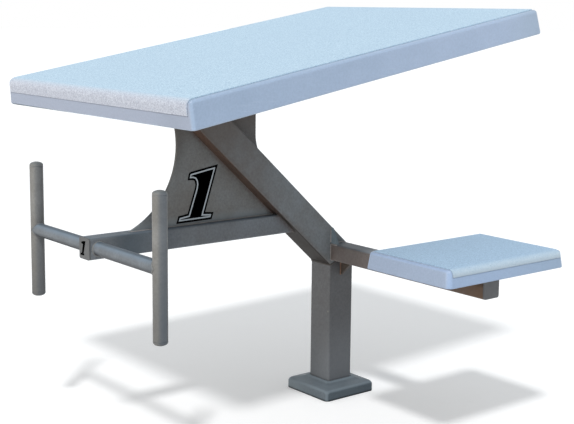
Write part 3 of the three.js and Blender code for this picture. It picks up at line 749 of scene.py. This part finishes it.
# Platform and step: the outer foot of each shell is eased all round
def easeFoot(piece, toward, level, width):
    middle = sum((v.co for v in piece.data.vertices), Vector()) / len(piece.data.vertices)
    toward = Vector(toward)
    atFoot = {v.index for v in piece.data.vertices if abs(v.co.dot(toward) - level * mm) < 0.1 * mm}
    wanted = set()
    for face in piece.data.polygons:
        if abs(face.normal.dot(toward)) < 0.5 and (face.center - middle).dot(face.normal) > 0:
            wanted.update(key for key in face.edge_keys if set(key) <= atFoot)
    editAll(piece)
    bpy.ops.mesh.select_mode(type="EDGE")
    bpy.ops.mesh.select_all(action="DESELECT")
    closeEdit()
    for edge in piece.data.edges:
        edge.select = edge.key in wanted
    bpy.ops.object.mode_set(mode="EDIT")
    bpy.ops.mesh.bevel(offset=width * mm, segments=3, affect="EDGES")
    closeEdit()


# the way a shell faces, the height of its foot that way and the width of the easing
shellFeet = {"platform_shell": (platformNormal, 674.72, 3.5), "step_shell": (alongZ, 318.2, 2.0)}
otherPieces = {
    "platform_shell": ("platformShell", 0.8, shellFinish, "shell_plastic"),
    "step_shell": ("stepShell", 0.8, stepShellFinish, "shell_plastic"),
    "platform_tread": ("platformTread", 1.2, treadFinish, "tread_grit"),
    "step_tread": ("stepTread", 1.0, stepTreadFinish, "tread_grit"),
    "platform_core": ("platformBoard", 0.8, filmPly, "core_board"),
    "step_core": ("stepBoard", 0.8, filmPly, "core_board"),
    "rail_end_cap": ("railEndCap", 0.6, capFinish, "cap_plastic"),
    "step_arm_end_cap": ("stepArmEndCap", 0.6, capFinish, "cap_plastic"),
}
for nodeName, (pieceName, edge, material, slot) in otherPieces.items():
    foot = shellFeet.get(nodeName)
    shape = (lambda piece: easeFoot(piece, *foot)) if foot else None
    piece = workedCopy(nodeName, pieceName, edge, shape)
    dress(piece, material)
    standIn(piece, "block", slot, nodeName)
# the cap's face is set back to make room for the printed number
capFace = {"end": -565.0, "within": 0.1, "setBack": 0.2}
editFaces(
    bpy.data.objects["railEndCap"],
    lambda face: face.normal.y < -0.99 and face.center.y < (capFace["end"] + capFace["within"]) * mm,
)
bpy.ops.transform.translate(value=(0, capFace["setBack"] * mm, 0))
closeEdit()
print("platform and step dressed")

# Foot cover: a drawn ring, walls extruded up, rolled over the rim and swept up to the post, 3 mm thick
footCover = {
    "width": 127, "corner": 9, "rimFoot": 14, "rim": 8, "steps": 8, "foot": ((62.7, 0.02), (63.5, 0.8)),
    "sweep": (
        (51, 22.9), (46, 23.9), (41, 25.3), (38, 26.6), (36, 27.9), (34.8, 28.9), (33.6, 29.4),
        (32.4, 29.5),
    ),
    "inside": (
        (31.2, 29.2), (31.0, 28.6), (31.0, 26.2), (44, 21.4), (52.5, 19.4), (55.5, 18.8), (58.8, 17.2),
        (60.5, 13.5), (60.5, 0.02), (62.7, 0.02),
    ),
}
half = footCover["width"] / 2
rimCentre = half - footCover["rim"]
profile = [*footCover["foot"], (half, footCover["rimFoot"])]
for step in range(1, footCover["steps"] + 1):
    turn = math.radians(step * 90 / footCover["steps"])
    profile.append((
        rimCentre + footCover["rim"] * math.cos(turn),
        footCover["rimFoot"] + footCover["rim"] * math.sin(turn),
    ))
profile += footCover["sweep"] + footCover["inside"]
outline = ringOf(footCover["width"], footCover["width"], footCover["corner"], footCover["steps"])[:-1]
piece = newPiece("footCover", bpy.data.meshes.new("footCover"))
firstScale = profile[0][0] / half
piece.data.from_pydata(
    [(x * firstScale * mm, y * firstScale * mm, profile[0][1] * mm) for x, y in outline],
    [(i, (i + 1) % len(outline)) for i in range(len(outline))], [],
)
makeActive(piece)
bpy.ops.object.mode_set(mode="EDIT")
bpy.ops.mesh.select_mode(type="VERT")
bpy.ops.mesh.select_all(action="SELECT")
for (lastHalf, lastZ), (nextHalf, nextZ) in zip(profile, profile[1:]):
    bpy.ops.mesh.extrude_region_move(TRANSFORM_OT_translate={"value": (0, 0, (nextZ - lastZ) * mm)})
    widen = nextHalf / lastHalf
    bpy.ops.transform.resize(value=(widen, widen, 1), center_override=(0, 0, 0))
bpy.ops.mesh.select_all(action="SELECT")
bpy.ops.mesh.remove_doubles(threshold=meshRules["mergeWithin"] * mm)
bpy.ops.mesh.normals_make_consistent(inside=False)
closeEdit()
shadeFlats(piece)
dress(piece, coverPaint)
standIn(piece, "cover", "cover_coating", "base_cover")


# Fasteners: the first of each kind is worked, the rest are copies of it moved to their holes
fastener = {"edge": 0.3, "chamfer": 1.5, "headArea": 200}


def chamferHead(piece):
    editFaces(piece, lambda face: len(face.vertices) == 6 and face.area > fastener["headArea"] * mm * mm)
    bpy.ops.mesh.bevel(offset=fastener["chamfer"] * mm, segments=2, affect="VERTICES")
    closeEdit()


def middleOf(thing):
    return sum((Vector(c) for c in thing.bound_box), Vector()) / 8


firstOfKind = {}
for nodeName in nodes:
    kind = nodeName.rstrip("0123456789_")
    if not kind.endswith(("bolt", "washer")):
        continue
    pieceName = nodeName.replace("_", "") + "Part"
    if kind in firstOfKind:
        made, start = firstOfKind[kind]
        piece = newPiece(pieceName, made.data.copy())
        piece.data.transform(Matrix.Translation(middleOf(nodes[nodeName]) - start))
    else:
        shape = chamferHead if kind.endswith("bolt") else None
        piece = workedCopy(nodeName, pieceName, fastener["edge"], shape)
        dress(piece, boltFinish)
        firstOfKind[kind] = (piece, middleOf(nodes[nodeName]))
    standIn(piece, "block", "stainless", nodeName)
print("cover and fasteners dressed")


# Weld beads: a row of overlapping ripples along each joint, under the coat
weld = {
    "radius": 1.9, "fineRadius": 1.2, "armRadius": 1.5, "gripRadius": 1.6, "footRadius": 3.0,
    "pitch": 1.9, "ripple": 0.14, "endTaper": 0.75, "smoothBelow": 60, "gripTurn": 10,
}
# where the joints lie, in millimetres: tubes as width and height, then places as the beads run
joint = {
    "post": 60, "rail": (34, 38), "arm": (38, 34), "tubeCorner": 4, "elbow": 268.0,
    "platformFoot": (-547.55, 585.9), "topMiddle": -369.3, "topStretch": 1.25,
    "railMiddle": 361, "gussetFace": 3, "gussetRise": (382, 594), "gussetFoot": (-474, -156, 380.2),
    "rearGusset": ((-331, 623.4), (-173.5, 480.2)), "rearGussetTop": (-329, -200),
    "stepPlate": (303.5, 421.5), "stepPlateSides": (-29.2, 7.2), "stepPlateFoot": 311.4, "baseTop": 8.4,
    "postFace": 30.2, "postToe": 31, "armMiddle": (-11, 294.7), "topGusset": (49, 314, 342.5),
    "topGussetFeet": ((-24, 311.8), (-30, 311)), "underGusset": (65, 245.5, 276.5), "underArm": 277.6,
    "grip": (-545.5, 361), "gripRing": 12.6, "railSide": 17, "gripBar": 210,
}
diagonalRise = math.tan(diagonalSlope)
mitreRise = math.tan(math.pi / 4 - diagonalSlope / 2)


def spaced(points, pitch):
    path = [Vector(p) for p in points]
    lengths = [(b - a).length for a, b in zip(path, path[1:])]
    count = max(2, round(sum(lengths) / pitch))
    result = []
    for i in range(count + 1):
        left = sum(lengths) * i / count
        for a, b, length in zip(path, path[1:], lengths):
            if left <= length or b is path[-1]:
                result.append(a.lerp(b, min(1, left / length) if length else 0))
                break
            left -= length
    return result


def layBeads(pieceName, runs, radius, coat):
    curve = bpy.data.curves.new(pieceName, "CURVE")
    curve.dimensions = "3D"
    curve.bevel_depth = radius * mm
    curve.bevel_resolution = 1
    curve.use_fill_caps = True
    for run in runs:
        path = spaced(run, weld["pitch"])
        spline = curve.splines.new("POLY")
        spline.points.add(len(path) - 1)
        for i, (point, place) in enumerate(zip(spline.points, path)):
            point.co = (*(place * mm), 1)
            taper = weld["endTaper"] if i in (0, len(path) - 1) else 1
            point.radius = taper * (1 + weld["ripple"] * (1 if i % 2 else -1))
    makeActive(newPiece(pieceName, curve))
    bpy.ops.object.convert(target="MESH")
    piece = bpy.context.object
    bpy.ops.object.shade_smooth_by_angle(angle=math.radians(weld["smoothBelow"]))
    dress(piece, coat)
    standIn(piece, "block", "frame_coating")


def underDiagonal(z):
    return -joint["post"] / 2 - (z - joint["elbow"]) / diagonalRise


def platformUnderside(y):
    frontY, frontZ = joint["platformFoot"]
    return frontZ + (y - frontY) * math.tan(platformSlope)


# a straight bead on each side of a plate
def bothSides(half, start, end):
    return [[(side, *start), (side, *end)] for side in (-half, half)]


gussetFace = joint["gussetFace"]
postRing = ringOf(joint["post"], joint["post"], joint["tubeCorner"])
railRing = ringOf(*joint["rail"], joint["tubeCorner"])
armRing = ringOf(*joint["arm"], joint["tubeCorner"])
topRing = [(x, y * joint["topStretch"] + joint["topMiddle"]) for x, y in postRing]
frameRuns = [
    [(x, y, joint["elbow"] + (y + joint["post"] / 2) * mitreRise) for x, y in postRing],
    [(x, underDiagonal(joint["railMiddle"] + z), joint["railMiddle"] + z) for x, z in railRing],
    [(x, y, platformUnderside(y)) for x, y in topRing],
]
frameRuns += bothSides(gussetFace, *joint["rearGusset"])
frameRuns += bothSides(gussetFace, *((y, platformUnderside(y)) for y in joint["rearGussetTop"]))
for y in joint["stepPlateSides"]:
    frameRuns.append([(x, y, joint["stepPlateFoot"]) for x in joint["stepPlate"]])
layBeads("frameWelds", frameRuns, weld["radius"], weldPaint)
layBeads(
    "stainedWelds", bothSides(gussetFace, *((underDiagonal(z), z) for z in joint["gussetRise"])),
    weld["fineRadius"], darkWeldPaint,
)
gussetFront, gussetBack, gussetFoot = joint["gussetFoot"]
layBeads(
    "gussetFootWelds", bothSides(gussetFace, (gussetFront, gussetFoot), (gussetBack, gussetFoot)),
    weld["fineRadius"], litWeldPaint,
)
layBeads("footWeld", [[(x, y, joint["baseTop"]) for x, y in postRing]], weld["footRadius"], weldPaint)

# beads on the post's side run up its face and then out along the arm
postFace = joint["postFace"]
armY, armZ = joint["armMiddle"]
armRuns = [[(postFace, armY + y, armZ + z) for y, z in armRing]]
gussetTip, low, high = joint["topGusset"]
for y, z in joint["topGussetFeet"]:
    armRuns.append([(postFace, y, low), (postFace, y, high)])
    armRuns.append([(joint["postToe"], y, z), (gussetTip, y, z)])
layBeads("armWelds", armRuns, weld["armRadius"], litWeldPaint)
underRuns = []
gussetTip, low, high = joint["underGusset"]
for side in (-gussetFace, gussetFace):
    underRuns.append([(postFace, side, low), (postFace, side, high)])
    underRuns.append([(x, side, joint["underArm"]) for x in (joint["postToe"], gussetTip)])
layBeads("underWelds", underRuns, weld["radius"], rustyWeldPaint)

# round the crossbar's ends: flat on the rail's sides, saddle shaped on the upright bars
gripY, gripZ = joint["grip"]
ring = joint["gripRing"]
gripRuns = []
for side in (-1, 1):
    turns = [math.radians(t) for t in range(0, 361, weld["gripTurn"])]
    circle = [(gripY + ring * math.sin(t), gripZ + ring * math.cos(t)) for t in turns]
    gripRuns.append([(side * joint["railSide"], y, z) for y, z in circle])
    gripRuns.append([(side * (joint["gripBar"] - abs(z - gripZ)), y, z) for y, z in circle])
layBeads("gripWelds", gripRuns, weld["gripRadius"], gripPaint)
print("welds laid")


# Lane number, printed on both faces of the gusset and on the rail's end cap
laneNumber = {
    "outline": (
        (-285.5, 486.7), (-345.4, 477.0), (-349.0, 475.2), (-350.4, 472.8), (-352.5, 462.1),
        (-341.5, 461.6), (-338.2, 460.4), (-336.4, 457.6), (-335.7, 453.5), (-336.6, 446.7),
        (-352.9, 400.5), (-373.2, 397.8), (-377.6, 384.2), (-299.5, 385.2), (-295.1, 398.1),
        (-313.9, 399.8),
    ),
    "capOutline": (
        (4.7, 374.7), (-4.5, 373.4), (-9.2, 371.8), (-9.5, 368.8), (-4.0, 368.4), (-7.9, 352.3),
        (-12.0, 351.8), (-12.4, 348.4), (-0.4, 348.8), (0.0, 352.0), (-2.2, 352.3),
    ),
    "rim": 3.8, "inline": 2.7, "lift": 0.06, "thickness": 0.12, "gussetEnds": -628,
}


def printNumber(pieceName, points, normal, outlined):
    piece = newPiece(pieceName, bpy.data.meshes.new(pieceName))
    piece.data.from_pydata([Vector(p) * mm for p in points], [], [tuple(range(len(points)))])
    for material in (blackInk, greyInk):
        piece.data.materials.append(material)
    if piece.data.polygons[0].normal.dot(Vector(normal)) < 0:
        piece.data.flip_normals()
    if outlined:
        editAll(piece)
        for width in (laneNumber["rim"], laneNumber["inline"]):
            bpy.ops.mesh.inset(thickness=width * mm, use_even_offset=True)
        closeEdit()
        # the second ring is the pale line, the rest stays black
        for face in list(piece.data.polygons)[-len(points):]:
            face.material_index = 1
    applyModifier(piece, "SOLIDIFY", thickness=laneNumber["thickness"] * mm, offset=1.0)
    standIn(piece, "block", "frame_coating")


printed = gussetFace + laneNumber["lift"]
printNumber("laneNumberNear", [(printed, y, z) for y, z in laneNumber["outline"]], (1, 0, 0), True)
printNumber(
    "laneNumberFar", [(-printed, laneNumber["gussetEnds"] - y, z) for y, z in laneNumber["outline"]],
    (-1, 0, 0), True,
)
printed = capFace["end"] + capFace["setBack"] - laneNumber["lift"]
printNumber("laneNumberCap", [(x, printed, z) for x, z in laneNumber["capOutline"]], (0, -1, 0), False)
print("lane number printed")


# Floor, light and camera: the glow turns the lit floor white to the camera and keeps the shadow
studio = {"size": 60, "grey": 0.93, "glow": 0.17, "roughness": 0.9}
bpy.ops.object.select_all(action="DESELECT")
bpy.ops.mesh.primitive_grid_add(x_subdivisions=2, y_subdivisions=2, size=studio["size"])
floor = bpy.context.object
floor.name = "studioFloor"
floorPaint, shader, place = blankMaterial("paintedStudioFloor", studio["roughness"])
shader.inputs["Base Color"].default_value = (studio["grey"], studio["grey"], studio["grey"], 1)
shader.inputs["Specular IOR Level"].default_value = 0.0
shader.inputs["Emission Color"].default_value = (1, 1, 1, 1)
seen = addNode(floorPaint, "ShaderNodeLightPath")
shown = addNode(floorPaint, "ShaderNodeMath", {"operation": "MAXIMUM"}, {
    0: seen.outputs["Is Camera Ray"], 1: seen.outputs["Is Glossy Ray"],
})
glow = addNode(floorPaint, "ShaderNodeMath", {"operation": "MULTIPLY"}, {
    0: shown.outputs[0], 1: studio["glow"],
})
feed(floorPaint, shader, "Emission Strength", glow.outputs[0])
dress(floor, floorPaint)

# Plain level: key, fill and sky together give a white card on the floor a value near 1
light = {
    "toward": (0.53, -0.55, 1.0), "key": 0.42, "softness": 5.5, "sky": 0.62,
    "fillPlace": (-0.6, -4.5, 1.3), "fillAim": (0.0, -0.3, 0.45), "fillSize": (2.4, 1.4),
    "fillPower": 31, "fillColour": "ffe8ca", "skyColour": "f6fbff",
}
sunHeight = Vector(light["toward"]).normalized().z
bpy.ops.object.light_add(type="SUN", location=(1, -1, 2))
sun = bpy.context.object
sun.name = "softKey"
sun.data.energy = math.pi * light["key"] / sunHeight
sun.data.angle = math.radians(light["softness"])
sun.rotation_mode = "QUATERNION"
sun.rotation_quaternion = Vector(light["toward"]).to_track_quat("Z", "Y")

bpy.ops.object.light_add(type="AREA", location=light["fillPlace"])
fill = bpy.context.object
fill.name = "frontFill"
fill.data.shape = "RECTANGLE"
fill.data.size, fill.data.size_y = light["fillSize"]
fill.data.energy = light["fillPower"]
fill.data.color = linearColour(light["fillColour"])[:3]
fill.rotation_mode = "QUATERNION"
fillBack = Vector(light["fillPlace"]) - Vector(light["fillAim"])
fill.rotation_quaternion = fillBack.to_track_quat("Z", "Y")

world = bpy.data.worlds.new("whiteStudio")
bpy.context.scene.world = world
world.use_nodes = True
backdrop = world.node_tree.nodes["Background"]
seen = addNode(world, "ShaderNodeLightPath")
direct = addNode(world, "ShaderNodeMath", {"operation": "MAXIMUM"}, {
    0: seen.outputs["Is Camera Ray"], 1: seen.outputs["Is Glossy Ray"],
})
direct = addNode(world, "ShaderNodeMath", {"operation": "MAXIMUM"}, {
    0: direct.outputs[0], 1: seen.outputs["Is Transmission Ray"],
})
skyTone = addNode(world, "ShaderNodeMix", asColour, {
    0: direct.outputs[0], 6: linearColour(light["skyColour"]), 7: (1, 1, 1, 1),
})
world.node_tree.links.new(skyTone.outputs[2], backdrop.inputs["Color"])
strength = addNode(world, "ShaderNodeMapRange", {}, {
    "Value": direct.outputs[0], "To Min": light["sky"], "To Max": 1.0,
})
world.node_tree.links.new(strength.outputs["Result"], backdrop.inputs["Strength"])

# focal length, axis rise and width in pixels of the photo, the rest in metres, degrees and millimetres
view = {
    "place": (1.7929, -1.5610, 0.7789), "azimuth": 51.1838, "elevation": 8.4048, "roll": 0.57098,
    "focal": 1198.3, "axisRise": 30, "width": 574, "sensor": 36, "near": 0.05, "far": 200,
}
bpy.ops.object.camera_add()
camera = bpy.context.object
camera.name = "photoCamera"
azimuth, elevation, roll = (math.radians(view[k]) for k in ("azimuth", "elevation", "roll"))
back = Vector((
    math.sin(azimuth) * math.cos(elevation), -math.cos(azimuth) * math.cos(elevation),
    math.sin(elevation),
))
level = Vector((math.cos(azimuth), math.sin(azimuth), 0))
upright = back.cross(level)
right = level * math.cos(roll) + upright * math.sin(roll)
up = upright * math.cos(roll) - level * math.sin(roll)
camera.matrix_world = Matrix.Translation(view["place"]) @ Matrix((right, up, back)).transposed().to_4x4()
camera.data.sensor_width = view["sensor"]
camera.data.lens = view["focal"] * view["sensor"] / view["width"]
camera.data.shift_y = -view["axisRise"] / view["width"]
camera.data.clip_start = view["near"]
camera.data.clip_end = view["far"]
bpy.context.scene.camera = camera
bpy.context.scene.view_settings.view_transform = "Standard"
print("floor, light and camera set")
